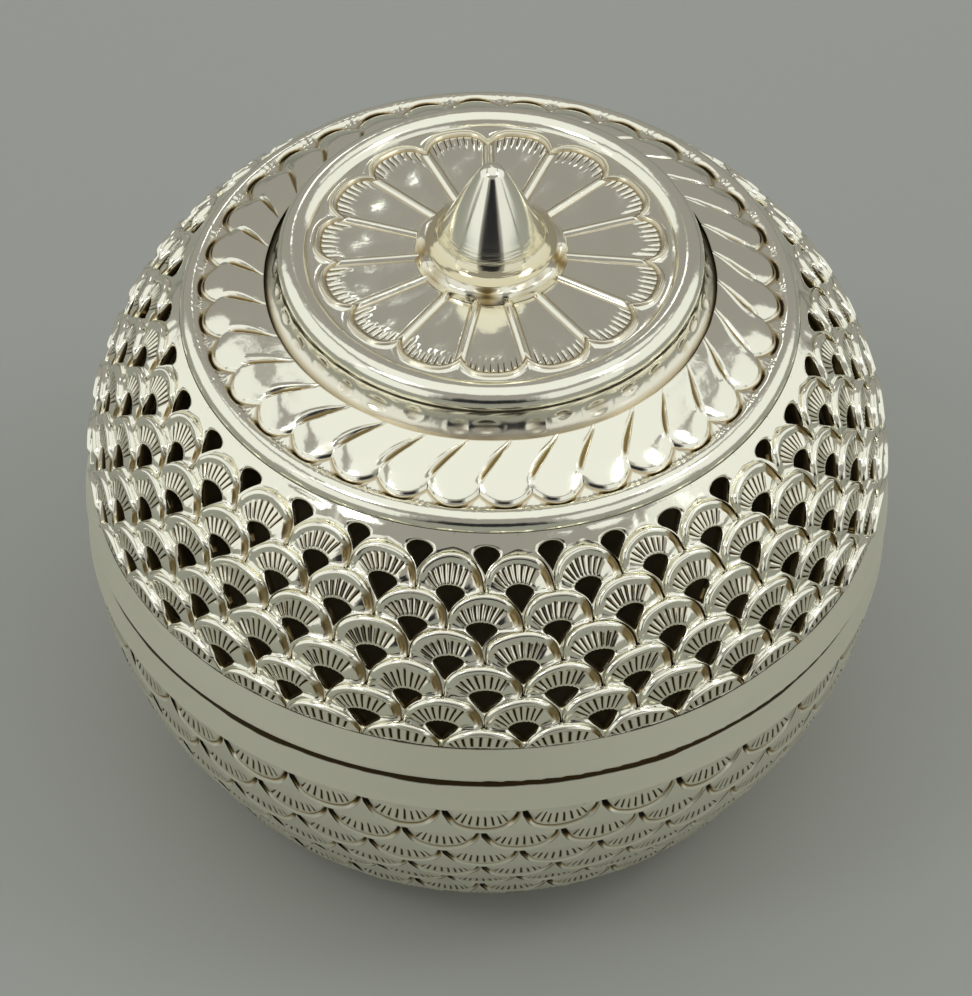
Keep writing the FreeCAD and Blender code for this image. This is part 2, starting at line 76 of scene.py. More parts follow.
# The round outline in metres, where the boxes of the frame's nodes don't give it
SHEET = 0.9 * MM
BASE_RADIUS = 23 * MM
BASE_BEND = 15 * MM
BOWL_KNEE = (33.8 * MM, 9.8 * MM)
LINING_KNEE = (33.04 * MM, 10.27 * MM)
BOWL_BEND = 35 * MM
BOWL_RIM = 39.6 * MM
RIDGE_INSIDE = 28.1 * MM
RIDGE_DROP = 2.2 * MM
RIDGE_BEND = 1.35 * MM
SHELF_RADIUS = 21.8 * MM
SHELF_WALL = 1 * MM
SEAT_RADIUS = 19.8 * MM
COVE_INSET = 1.4 * MM
COVE_RISE = 2.6 * MM
COVE_BEND = 3 * MM
BEAD_BORE = 17.7 * MM
BEAD_BEND = 1.5 * MM

# Ways along the shoulder's outline in millimetres: over the ridge, then across the shelf
RIDGE_WAY = 2.99
SHELF_WAY = 6.67

# Way at either end of an outline over which the unevenness dies away
FADE = 2.5 * MM

# Chased strokes by their place on a scale's arch, and half their width
LID_STROKES = [0.27, 0.355, 0.44, 0.525, 0.61, 0.695, 0.78, 0.865]
LID_STROKE_HALF = 0.031
BOWL_STROKES = [0.22, 0.3, 0.38, 0.46, 0.54, 0.62, 0.7, 0.78]
BOWL_STROKE_HALF = 0.024

# Loops of points from the middle of a scale, at 0, to its outer edge, at 1
LID_RINGS = [0.0, 0.05, 0.11, 0.18, 0.56, 0.63, 0.7, 0.78, 0.86, 0.93, 0.97, 1.0]
BOWL_RINGS = [0.0, 0.1, 0.2, 0.56, 0.64, 0.7, 0.76, 0.82, 0.88, 0.94, 1.0]


def srgb(text):
    """Linear red, green, blue and alpha of an sRGB hex colour."""
    channels = [int(text[place:place + 2], 16) / 255 for place in (1, 3, 5)]
    linear = [c / 12.92 if c <= 0.04045 else ((c + 0.055) / 1.055) ** 2.4 for c in channels]
    return (*linear, 1.0)


def smooth(low, high, value):
    """Eases from 0 at low to 1 at high."""
    part = min(max((value - low) / (high - low), 0.0), 1.0)
    return part * part * (3 - 2 * part)


def hump(centre, half, value):
    """A soft bump of height 1 at centre that ends half away from it."""
    gap = abs(value - centre) / half
    return 0.0 if gap >= 1 else (1 - gap * gap) ** 2


def blend_levels(levels, place):
    """A height read from (place, height) steps, eased between them."""
    before = levels[0]
    for step in levels[1:]:
        if place <= step[0]:
            return before[1] + (step[1] - before[1]) * smooth(before[0], step[0], place)
        before = step
    return levels[-1][1]


def between(start, end, part):
    """The point that lies a part of the way from start to end."""
    return start[0] + (end[0] - start[0]) * part, start[1] + (end[1] - start[1]) * part


def top_of(node):
    """Height of a CAD node's top."""
    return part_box(node)[1].z


def foot_of(node):
    """Height of a CAD node's foot."""
    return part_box(node)[0].z


def reach_of(node):
    """Largest radius of a CAD node."""
    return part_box(node)[1].x


def length(name, description, default):
    """A length that the panel shows."""
    return bpy.props.FloatProperty(
        name=name, description=description, default=default, unit="LENGTH"
    )


def tint(name, description, default):
    """A colour that the panel shows."""
    return bpy.props.FloatVectorProperty(
        name=name, description=description, default=srgb(default), subtype="COLOR", size=4
    )


class SilverBoxSizes(bpy.types.PropertyGroup):
    """Sizes and colours of the chased silver."""

    scales_round: bpy.props.IntProperty(
        name="Scales round", description="Scales in one row of the lid or the bowl", default=32
    )
    lowest_hole: length("Lowest hole", "Way up the dome to the lowest row of holes", 2.6 * MM)
    row_pitch: length("Row pitch", "Way up the dome from one row of holes to the next", 3.62 * MM)
    hole_rows: bpy.props.IntProperty(
        name="Rows of holes", description="Pierced rows on the lid", default=6
    )
    dome_foot_radius: length(
        "Dome foot radius", "Radius where the dome stands on its band", 39.3 * MM
    )
    dome_top_radius: length(
        "Dome top radius", "Radius where the dome meets the plain ridge", 30 * MM
    )
    dome_rise: length("Dome rise", "Height of the pierced part of the dome", 19.8 * MM)
    dome_bulge: length("Dome bulge", "Radius of the dome's round outline", 26.3 * MM)
    bowl_row_pitch: length(
        "Bowl row pitch", "Way down the bowl from one row of scales to the next", 3.84 * MM
    )
    flutes_round: bpy.props.IntProperty(
        name="Flutes round", description="Slanted flutes on the shoulder", default=34
    )
    petals_round: bpy.props.IntProperty(
        name="Petals round", description="Petals on the medallion", default=15
    )
    dimples_round: bpy.props.IntProperty(
        name="Dimples round", description="Punched dimples on the coved wall", default=36
    )
    silver: tint("Silver", "Clean polished silver", "#F4F0DD")
    tarnish: tint("Tarnish", "Warm tarnish in the recesses", "#A8905C")
    soot: tint("Old tarnish", "Dark tarnish in the deepest cuts", "#2A2217")


def sizes():
    """The sizes that the panel shows."""
    return bpy.context.scene.silver_box


def arc_points(start, end, radius, steps):
    """Points along the arc from start to end that bulges to the right of its way."""
    start = Vector(start)
    end = Vector(end)
    chord = end - start
    half = chord.length / 2
    left = Vector((-chord.y, chord.x)).normalized()
    centre = (start + end) / 2 + left * math.sqrt(radius**2 - half**2)
    first = math.atan2(start.y - centre.y, start.x - centre.x)
    last = math.atan2(end.y - centre.y, end.x - centre.x)
    if last < first:
        last += math.tau
    return [
        centre + radius * Vector((math.cos(turn), math.sin(turn)))
        for turn in (first + (last - first) * step / steps for step in range(steps + 1))
    ]


def way_along(points):
    """Length of a run of points."""
    return sum((b - a).length for a, b in zip(points, points[1:]))


def profile_curve(name, points):
    """A curve in the XZ plane that a pattern is wrapped round."""
    curve = bpy.data.curves.new(name, "CURVE")
    curve.dimensions = "3D"
    spline = curve.splines.new("POLY")
    spline.points.add(len(points) - 1)
    for place, point in zip(spline.points, points):
        place.co = (point.x, 0, point.y, 1)
    return link(bpy.data.objects.new(name, curve))


def link(obj):
    """Puts an object into the scene."""
    bpy.context.scene.collection.objects.link(obj)
    return obj


def new_mesh(name, verts, faces, recess=None, loose=None):
    """A mesh with its recess and looseness kept as attributes."""
    mesh = bpy.data.meshes.new(name)
    mesh.from_pydata(verts, [], faces)
    for label, values in (("recess", recess), ("loose", loose)):
        if values is not None:
            mesh.attributes.new(label, "FLOAT", "POINT").data.foreach_set("value", values)
    mesh.update()
    return mesh


def set_inputs(node, inputs):
    """Sets a node's inputs, each to a value, a socket or another node's first output."""
    for key, value in inputs.items():
        if isinstance(value, bpy.types.Node):
            value = value.outputs[0]
        if isinstance(value, bpy.types.NodeSocket):
            node.id_data.links.new(value, node.inputs[key])
        else:
            node.inputs[key].default_value = value


def add_node(tree, kind, inputs=None, **settings):
    """Adds a node with its settings and its inputs."""
    node = tree.nodes.new(kind)
    for key, value in settings.items():
        setattr(node, key, value)
    set_inputs(node, inputs or {})
    return node


def wrap_tree():
    """Geometry nodes that set out flat tiles and wrap them round a turned outline.

    A tile is drawn flat: x counts copies round, y counts rows up and z is the relief.
    """
    tree = bpy.data.node_groups.new("wrap_round", "GeometryNodeTree")
    for label, kind in (
        ("Geometry", "Geometry"), ("Tiles", "Collection"), ("Outline", "Object"),
        ("Material", "Material"), ("Copies", "Int"), ("First row", "Float"),
        ("Row pitch", "Float"), ("Highest", "Float"), ("Relief fade", "Float"),
        ("Wobble", "Float"), ("Seed", "Float"),
    ):
        tree.interface.new_socket(label, in_out="INPUT", socket_type=f"NodeSocket{kind}")
    tree.interface.new_socket("Geometry", in_out="OUTPUT", socket_type="NodeSocketGeometry")
    add = partial(add_node, tree)
    given = add("NodeGroupInput").outputs

    # One tile on each point, picked by kind and set askew by jig where it is loose
    tiles = add(
        "GeometryNodeCollectionInfo",
        {"Collection": given["Tiles"], "Separate Children": True, "Reset Children": True},
    )
    kind, jig, loose = (
        add("GeometryNodeInputNamedAttribute", {"Name": label}, data_type=data)
        for label, data in (("kind", "INT"), ("jig", "FLOAT_VECTOR"), ("loose", "FLOAT"))
    )
    copies = add(
        "GeometryNodeInstanceOnPoints",
        {
            "Points": given["Geometry"], "Instance": tiles,
            "Pick Instance": True, "Instance Index": kind,
        },
    )
    flat = add("GeometryNodeRealizeInstances", {"Geometry": copies})
    sway = add("ShaderNodeVectorMath", {0: jig, "Scale": loose}, operation="SCALE")
    swayed = add("GeometryNodeSetPosition", {"Geometry": flat, "Offset": sway})

    # Turn round the axis and way along the outline of each point
    position = add("GeometryNodeInputPosition")
    place = add("ShaderNodeSeparateXYZ", {0: position}).outputs
    circle = add("ShaderNodeMath", {0: place[0], 1: math.tau}, operation="MULTIPLY")
    turn = add("ShaderNodeMath", {0: circle, 1: given["Copies"]}, operation="DIVIDE")
    way = add(
        "ShaderNodeMath", {0: place[1], 1: given["Row pitch"], 2: given["First row"]},
        operation="MULTIPLY_ADD",
    )
    left = add("ShaderNodeMath", {0: given["Highest"], 1: way}, operation="SUBTRACT")
    near = add("ShaderNodeMath", {0: way, 1: left}, operation="MINIMUM")

    # Unevenness of hand work, from noise that closes round the box
    drawn = add("ShaderNodeMath", {0: way, 1: 160.0}, operation="MULTIPLY")
    spot = add("ShaderNodeCombineXYZ", {0: 5.0, 2: drawn})
    ring = add("ShaderNodeVectorRotate", {"Vector": spot, "Angle": turn}, rotation_type="Z_AXIS")
    noise = add(
        "ShaderNodeTexNoise",
        {"Vector": ring, "W": given["Seed"], "Scale": 1.1, "Detail": 1.0},
        noise_dimensions="4D",
    )
    free = add("ShaderNodeMapRange", {"Value": near, "From Max": FADE, "To Max": given["Wobble"]})
    centred = add(
        "ShaderNodeVectorMath", {0: noise.outputs["Color"], 1: (0.5, 0.5, 0.5)},
        operation="SUBTRACT",
    )
    shift = add("ShaderNodeVectorMath", {0: centred, "Scale": free}, operation="SCALE")
    drift = add("ShaderNodeSeparateXYZ", {0: shift}).outputs
    turned = add("ShaderNodeMath", {0: drift[0], 1: 34.0, 2: turn}, operation="MULTIPLY_ADD")
    moved = add("ShaderNodeMath", {0: way, 1: drift[1]}, operation="ADD")
    kept = add("ShaderNodeClamp", {"Value": moved, "Max": given["Highest"]})
    grown = add("ShaderNodeMapRange", {"Value": way, "From Max": given["Relief fade"]})
    relief = add("ShaderNodeMath", {0: place[2], 1: grown}, operation="MULTIPLY")
    lifted = add("ShaderNodeMath", {0: drift[2], 1: 0.25, 2: relief}, operation="MULTIPLY_ADD")

    # What lies past the outline's ends goes, and the rest stands off the outline by its relief
    past = add("ShaderNodeMath", {0: near, 1: 0.0}, operation="LESS_THAN")
    trimmed = add(
        "GeometryNodeDeleteGeometry", {"Geometry": swayed, "Selection": past}, domain="FACE"
    )
    outline = add("GeometryNodeObjectInfo", {"Object": given["Outline"]})
    sample = add(
        "GeometryNodeSampleCurve",
        {"Curves": outline.outputs["Geometry"], "Length": kept}, mode="LENGTH",
    ).outputs
    point = add("ShaderNodeSeparateXYZ", {0: sample["Position"]}).outputs
    slope = add("ShaderNodeSeparateXYZ", {0: sample["Tangent"]}).outputs
    radius = add("ShaderNodeMath", {0: lifted, 1: slope[2], 2: point[0]}, operation="MULTIPLY_ADD")
    sunk = add("ShaderNodeMath", {0: lifted, 1: slope[0]}, operation="MULTIPLY")
    height = add("ShaderNodeMath", {0: point[2], 1: sunk}, operation="SUBTRACT")
    front = add("ShaderNodeCombineXYZ", {0: radius, 2: height})
    wrapped = add(
        "ShaderNodeVectorRotate", {"Vector": front, "Angle": turned}, rotation_type="Z_AXIS"
    )
    bent = add("GeometryNodeSetPosition", {"Geometry": trimmed, "Position": wrapped})
    joined = add("GeometryNodeMergeByDistance", {"Geometry": bent, "Distance": 2e-6})
    eased = add("GeometryNodeSetShadeSmooth", {"Geometry": joined})
    coloured = add("GeometryNodeSetMaterial", {"Geometry": eased, "Material": given["Material"]})
    add("NodeGroupOutput", {"Geometry": coloured})
    return tree


def wrap_round(name, tiles, layout, points, material, **inputs):
    """Sets tiles out by layout, wraps them round an outline and returns a plain piece.

    layout is a list of (x, y, kind, jig), and kind picks the tile by its place in the list.
    """
    places = bpy.data.meshes.new(f"{name}_layout")
    places.from_pydata([(x, y, 0) for x, y, _, _ in layout], [], [])
    places.attributes.new("kind", "INT", "POINT").data.foreach_set(
        "value", [kind for _, _, kind, _ in layout]
    )
    places.attributes.new("jig", "FLOAT_VECTOR", "POINT").data.foreach_set(
        "vector", [part for _, _, _, jig in layout for part in jig]
    )
    carrier = link(bpy.data.objects.new(f"{name}_carrier", places))
    group = bpy.data.collections.new(f"{name}_tiles")
    bpy.context.scene.collection.children.link(group)
    for number, tile in enumerate(tiles):
        group.objects.link(bpy.data.objects.new(f"{name}_tile_{number:02d}", tile))
    outline = profile_curve(f"{name}_outline", points)
    tree = bpy.data.node_groups.get("wrap_round") or wrap_tree()
    modifier = carrier.modifiers.new("wrap_round", "NODES")
    modifier.node_group = tree
    sockets = {item.name: item.identifier for item in tree.interface.items_tree}
    given = {
        "tiles": group, "outline": outline, "material": material, "first_row": 0.0,
        "row_pitch": 1 * MM, "highest": way_along(points), "relief_fade": 0.01 * MM, **inputs,
    }
    for label, value in given.items():
        modifier[sockets[label.replace("_", " ").capitalize()]] = value
    carrier.update_tag()
    bpy.context.view_layer.update()
    depsgraph = bpy.context.evaluated_depsgraph_get()
    mesh = bpy.data.meshes.new_from_object(
        carrier.evaluated_get(depsgraph), preserve_all_data_layers=True, depsgraph=depsgraph
    )
    mesh.name = name
    for spare in (carrier, outline, *group.objects):
        bpy.data.objects.remove(spare)
    bpy.data.collections.remove(group)
    return link(bpy.data.objects.new(name, mesh))


def finish_piece(piece, body, node):
    """Rides a piece on its body and hides what it stands for."""
    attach(piece, body)
    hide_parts(node)


class Scale:
    """The columns of a fish-scale tile, which meet its arched edge at given places.

    A place runs from 0 at the arch's right end to 1 at its left end.
    """

    def __init__(self, strokes, half, bend):
        self.strokes = strokes
        self.bend = bend
        self.half = half
        places = {0.0, 0.04, 0.08, 0.13, 0.18, 0.5, 0.92, 0.96, 1.0}
        for place in strokes:
            places |= {place - half, place, place + half}
        self.places = sorted(places)
        self.last = len(self.places) - 1
        self.middle = self.places.index(0.5)

    def loop(self):
        """Outer edge of a scale: its own arch, then the flanks of the two arches below."""
        left = [self.arch(place, (-0.5, -1.0)) for place in self.places[self.middle - 1::-1]]
        right = [self.arch(place, (0.5, -1.0)) for place in self.places[-2:self.middle:-1]]
        return [self.arch(place) for place in self.places] + left + right

    def arch(self, place, centre=(0.0, 0.0)):
        """A point on the arch of the scale at centre, in pitches and rows."""
        turn = math.pi * place
        return centre[0] + 0.5 * math.cos(turn), centre[1] + math.sin(turn) ** self.bend

    def place(self, index):
        """The arch place that a column of the loop shares with its neighbour's arch."""
        if index <= self.last:
            return self.places[index]
        if index <= self.last + self.middle:
            return self.places[self.middle - (index - self.last)]
        return self.places[self.last - (index - self.last - self.middle)]

    def flank(self, index):
        """Side and way down, 0 to 1, of a column on the lower flanks."""
        below = index - self.last
        if below <= self.middle:
            return -1, below / self.middle
        return 1, 1 - (below - self.middle) / (self.last - self.middle)

    def stroke(self, place):
        """Number of the stroke at a place and how near its middle it is, 0 to 1."""
        for number, centre in enumerate(self.strokes):
            if abs(place - centre) < self.half * 1.01:
                return number, 1.0 if abs(place - centre) < self.half / 2 else 0.5
        return 0, 0.0


LID_SCALE = Scale(LID_STROKES, LID_STROKE_HALF, 0.72)
BOWL_SCALE = Scale(BOWL_STROKES, BOWL_STROKE_HALF, 1.0)


def ring_tile(name, rings, closed_middle=True):
    """A tile from loops of (x, y, z, recess, loose); closed_middle fills the first one."""
    total = len(rings[0])
    verts, recess, loose, faces = [], [], [], []
    for ring in rings:
        for x, y, z, hollow, slack in ring:
            verts.append((x, y, z))
            recess.append(min(max(hollow, 0.0), 1.0))
            loose.append(slack)
    for number in range(len(rings) - 1):
        for index in range(total):
            following = (index + 1) % total
            a = number * total + index
            b = number * total + following
            faces.append((a, a + total, b + total, b))
    if closed_middle:
        faces.append(tuple(range(total)))
    return new_mesh(name, verts, faces, recess, loose)


def flank_hollow(place):
    """Depth of the almond-shaped punch on an arch's flanks, 0 to 1, deeper to the right."""
    return hump(0.12, 0.17, place) + 0.15 * hump(0.95, 0.08, place)


def hole_point(index, wide):
    """A point on the hole's edge: a shallow arch above and a V below."""
    top, waist, foot = 0.2, -0.02, -0.54
    if index <= LID_SCALE.last:
        turn = math.pi * LID_SCALE.places[index]
        return wide * math.cos(turn), waist + (top - waist) * math.sin(turn)
    side, down = LID_SCALE.flank(index)
    return side * wide * (1 - down) ** 1.1, waist + (foot - waist) * down


def crown_edge(height):
    """Upper edge of a tile that ends square under the ridge, in as many columns."""
    corner = LID_SCALE.places[3]
    points = []
    for place in LID_SCALE.places:
        side = min(place, 1 - place)
        if side < corner:
            points.append((0.5 if place < 0.5 else -0.5, height * side / corner))
        else:
            points.append((0.5 - (place - corner) / (1 - 2 * corner), height))
    return points


def stroke_ends(chance):
    """Depth and upper end of each stroke of one scale, no two alike."""
    return [(chance.uniform(0.8, 1.3), chance.uniform(0.58, 0.68)) for _ in LID_STROKES]


def pierced_tile(name, seed, crown=None):
    """One scale of the lid: a fan-shaped hole, chased strokes and a raised arched lip.

    crown is the height of a straight upper edge, for the row under the ridge.
    """
    chance = random.Random(seed)
    outer = LID_SCALE.loop()
    if crown is not None:
        outer[:LID_SCALE.last + 1] = crown_edge(crown)
    wide = 0.212 * chance.uniform(0.92, 1.08)
    strokes = stroke_ends(chance)
    inner = [hole_point(index, wide) for index in range(len(outer))]
    rings = [
        [(x * 0.93, y * 0.93, -SHEET, 0.6, 1.0) for x, y in inner],
        [(x * 0.97, y * 0.97, -0.3 * MM, 0.58, 1.0) for x, y in inner],
    ]
    for part in LID_RINGS:
        ring = []
        for index, (start, end) in enumerate(zip(inner, outer)):
            x, y = between(start, end, part)
            height, hollow = lid_relief(index, part, strokes, crown is not None)
            ring.append((x, y, height * MM, hollow, 1 - smooth(0.3, 0.9, part)))
        rings.append(ring)
    back = [(x, y, -SHEET, 0.6, 0.0) for x, y in outer]
    return ring_tile(name, [back] + rings, closed_middle=False)


def lid_relief(index, part, strokes, crown):
    """Height in mm and recess of a point of the lid's scale."""
    place = LID_SCALE.place(index)
    hollow = flank_hollow(place)
    rim = -0.18 - 0.1 * hollow
    if index > LID_SCALE.last:
        levels = [(0.0, -0.1), (0.13, 0.1), (0.4, 0.06), (0.85, -0.02), (1.0, rim)]
        return blend_levels(levels, part), 0.3 * smooth(0.85, 1.0, part)
    if crown:
        height = blend_levels([(0.0, -0.05), (0.13, 0.1), (1.0, 0.08)], part)
        return height, 0.0
    foot = smooth(0.0, 0.12, min(place, 1 - place))
    levels = [(0.0, -0.05), (0.11, 0.06), (0.56, 0.06), (0.66, 0.08), (0.8, 0.44), (0.92, 0.46)]
    height = blend_levels(levels + [(1.0, rim)], part)
    height = rim + (height - rim) * (0.3 + 0.7 * foot)
    punch = hollow * hump(0.84, 0.26, part)
    height -= 0.75 * punch
    edge = hollow * hump(0.66, 0.08, part)
    recess = max(min(0.54, 1.5 * punch), 0.9 * edge, 0.3 * smooth(0.95, 1.0, part))
    number, near = LID_SCALE.stroke(place)
    depth, end = strokes[number]
    cut = smooth(0.03, 0.1, part) * (1 - smooth(end - 0.04, end + 0.06, part))
    if near == 1.0:
        height -= 0.17 * depth * cut
        recess = max(recess, cut)
    elif near:
        height += 0.03 * cut
    return height, recess


def grid_faces(wide, high):
    """Faces of a grid of points, wide columns by high rows."""
    return [
        (a, a + 1, a + wide + 1, a + wide)
        for a in (row * wide + column for row in range(high - 1) for column in range(wide - 1))
    ]


def foot_tile(name, seed, floor):
    """Half a scale with strokes only, which runs down to the band."""
    strokes = stroke_ends(random.Random(seed))
    ends = [LID_SCALE.arch(place) for place in LID_SCALE.places]
    rows = [[(x, y, -SHEET, 1.0) for x, y in ends], [(x, floor, -SHEET, 1.0) for x, _ in ends]]
    for part in LID_RINGS:
        row = []
        for index, end in enumerate(ends):
            x, y = between((end[0] * 0.75, floor), end, part)
            height, hollow = lid_relief(index, part, strokes, False)
            row.append((x, y, height * MM, hollow))
        rows.append(row)
    points = [point for row in rows for point in row]
    faces = [(a, d, c, b) for a, b, c, d in grid_faces(len(ends), len(rows))]
    return new_mesh(
        name, [point[:3] for point in points], faces, [point[3] for point in points],
        [0.0] * len(points),
    )


def row_layout(copies, kinds, seed, jig=0.0, start=0.0):
    """Places of tiles: one row for each entry of kinds, every other one set over by half."""
    chance = random.Random(seed)
    layout = []
    for row, choices in enumerate(kinds):
        for column in range(copies):
            shift = (
                chance.uniform(-jig, jig), chance.uniform(-jig, jig) * 1.4,
                chance.uniform(-jig, jig) * 3 * MM,
            )
            layout.append((column + row % 2 / 2 + start, row, chance.choice(choices), shift))
    return layout


def wrap_halves(body, part, node, layout, parted, **inputs):
    """Wraps a tall pattern as two pieces, the lower one up to the row parted."""
    for half, places in (
        ("lower", [place for place in layout if place[1] <= parted]),
        ("upper", [place for place in layout if place[1] > parted]),
    ):
        piece = wrap_round(f"{part}_{half}_scales", layout=places, **inputs)
        finish_piece(piece, body, node)


def dome_profile():
    """The dome's outline from the band up to the ridge."""
    s = sizes()
    start = (s.dome_foot_radius, foot_of("lid_dome"))
    return arc_points(start, (s.dome_top_radius, dome_top()), s.dome_bulge, 72)


class BOX_OT_pierced_dome(bpy.types.Operator):
    """Pierced and chased scales of the lid"""

    bl_idname = "silver_box.pierced_dome"
    bl_label = "Pierced dome"

    def execute(self, context):
        s = sizes()
        points = dome_profile()
        first = s.lowest_hole - s.row_pitch
        crown = (way_along(points) - first) / s.row_pitch - s.hole_rows
        tiles = [foot_tile("foot", 3, -first / s.row_pitch)]
        tiles += [pierced_tile(f"scale_{seed}", seed) for seed in (11, 12, 13)]
        tiles += [pierced_tile("crown", 21, crown)]
        kinds = [[0]] + [[1, 2, 3]] * (s.hole_rows - 1) + [[4]]
        wrap_halves(
            "lid", "lid", "lid_dome", row_layout(s.scales_round, kinds, 5, jig=0.035),
            s.hole_rows // 2, tiles=tiles, points=points, material=material_of("chased_silver"),
            copies=s.scales_round, first_row=first, row_pitch=s.row_pitch, wobble=1.0 * MM,
            seed=2.0,
        )
        return {"FINISHED"}


def bowl_tile(name, seed):
    """One scale of the bowl: a hanging arc with deep ends and short strokes in it."""
    chance = random.Random(seed)
    strokes = [(chance.uniform(0.8, 1.4), chance.uniform(0.1, 0.22)) for _ in BOWL_STROKES]
    outer = BOWL_SCALE.loop()
    rings = []
    for part in BOWL_RINGS:
        ring = []
        for index, end in enumerate(outer):
            turn = math.pi * BOWL_SCALE.place(index)
            start = (0.3 * math.cos(turn), 0.1 + 0.06 * math.sin(turn))
            if index > BOWL_SCALE.last:
                side, down = BOWL_SCALE.flank(index)
                start = (side * 0.3 * (1 - down), 0.1 - 0.1 * down)
            x, y = between(start, end, part)
            height, hollow = bowl_relief(index, part, strokes)
            ring.append((x, -y, height * MM, hollow, 0.0))
        rings.append(ring[::-1])
    return ring_tile(name, rings)


def bowl_relief(index, part, strokes):
    """Height in mm and recess of a point of the bowl's scale."""
    if index > BOWL_SCALE.last:
        return 0.0, 0.0
    place = BOWL_SCALE.place(index)
    line = hump(0.82, 0.14, part)
    left = hump(0.89, 0.17, place) * hump(0.82, 0.38, part)
    right = hump(0.13, 0.2, place) * hump(0.82, 0.28, part)
    height = -0.2 * line - 0.5 * left - 0.34 * right + 0.1 * hump(0.5, 0.3, part)
    height += 0.06 * hump(0.97, 0.06, part)
    recess = max(0.6 * line, 1.3 * left, 0.8 * right)
    number, near = BOWL_SCALE.stroke(place)
    depth, start = strokes[number]
    cut = smooth(start - 0.08, start + 0.02, part) * (1 - smooth(0.58, 0.66, part))
    if near == 1.0:
        height -= 0.16 * depth * cut
        recess = max(recess, cut)
    return height, recess


def bowl_profile():
    """The bowl's outline from the flat base up to the band."""
    points = arc_points((BASE_RADIUS, 0.0), BOWL_KNEE, BASE_BEND, 40)
    return points + arc_points(BOWL_KNEE, (BOWL_RIM, top_of("bowl")), BOWL_BEND, 40)[1:]


class BOX_OT_chased_bowl(bpy.types.Operator):
    """Chased scales of the bowl"""

    bl_idname = "silver_box.chased_bowl"
    bl_label = "Chased bowl"

    def execute(self, context):
        s = sizes()
        points = bowl_profile()
        total = way_along(points)
        rows = math.ceil(total / s.bowl_row_pitch) + 1
        first = total - rows * s.bowl_row_pitch + 0.14 * MM
        wrap_halves(
            "base", "bowl", "bowl", row_layout(s.scales_round, [[0, 1, 2]] * (rows + 1), 8),
            rows - 5, tiles=[bowl_tile(f"scale_{seed}", seed) for seed in (31, 32, 33)],
            points=points, material=material_of("rubbed_silver"), copies=s.scales_round,
            first_row=first, row_pitch=s.bowl_row_pitch, relief_fade=7 * MM, wobble=0.7 * MM,
            seed=6.0,
        )
        lining = turned_piece("bowl_lining", bowl_lining())
        finish_piece(lining, "base", "bowl")
        return {"FINISHED"}


def bowl_lining():
    """The bowl's inside and its flat base."""
    rim = top_of("bowl")
    inner = arc_points(LINING_KNEE, (BOWL_RIM - SHEET, rim), BOWL_BEND - SHEET, 30)
    floor = arc_points((BASE_RADIUS, SHEET), LINING_KNEE, BASE_BEND - SHEET, 24)
    inside = [(BOWL_RIM, rim)] + inner[::-1] + floor[::-1][1:] + [(0, SHEET)]
    return [inside, [(0, 0), (BASE_RADIUS, 0)]]


def grid_tile(name, columns, rows, relief):
    """A tile from a grid; relief turns a column and a row into x, y, height in mm, recess."""
    verts, recess = [], []
    for row in rows:
        for column in columns:
            x, y, height, hollow = relief(column, row)
            verts.append((x, y, height * MM))
            recess.append(min(max(hollow, 0.0), 1.0))
    faces = grid_faces(len(columns), len(rows))
    return new_mesh(name, verts, faces, recess, [0.0] * len(verts))


def spread(low, high, steps):
    """Even places from low to high."""
    return [low + (high - low) * step / steps for step in range(steps + 1)]


def turned_piece(name, runs, steps=128):
    """A dull turned surface from runs of (radius, height) with their outside to the right."""
    verts, faces = [], []
    for run in runs:
        first = len(verts)
        for x, y in run:
            for step in range(steps):
                turn = math.tau * step / steps
                verts.append((x * math.cos(turn), x * math.sin(turn), y))
        for level in range(len(run) - 1):
            for step in range(steps):
                a = first + level * steps + step
                b = first + level * steps + (step + 1) % steps
                faces.append((a, b, b + steps, a + steps))
    mesh = new_mesh(name, verts, faces)
    shape = bmesh.new()
    shape.from_mesh(mesh)
    bmesh.ops.remove_doubles(shape, verts=shape.verts, dist=2e-6)
    bmesh.ops.dissolve_degenerate(shape, edges=shape.edges, dist=1e-7)
    shape.to_mesh(mesh)
    shape.free()
    mesh.shade_smooth()
    mesh.materials.append(material_of("dull_silver"))
    return link(bpy.data.objects.new(name, mesh))


def dome_top():
    """Height where the pierced dome ends."""
    return foot_of("lid_dome") + sizes().dome_rise


def shoulder_profile():
    """Ridge, gadrooned shelf and the seat under the medallion."""
    top = top_of("lid_dome")
    start = (sizes().dome_top_radius, dome_top())
    points = arc_points(start, (RIDGE_INSIDE, top - RIDGE_DROP), RIDGE_BEND, 16)
    shelf = Vector((SHELF_RADIUS, top))
    points += [points[-1].lerp(shelf, step / 12) for step in range(1, 13)]
    return points + [Vector((SEAT_RADIUS, top))]


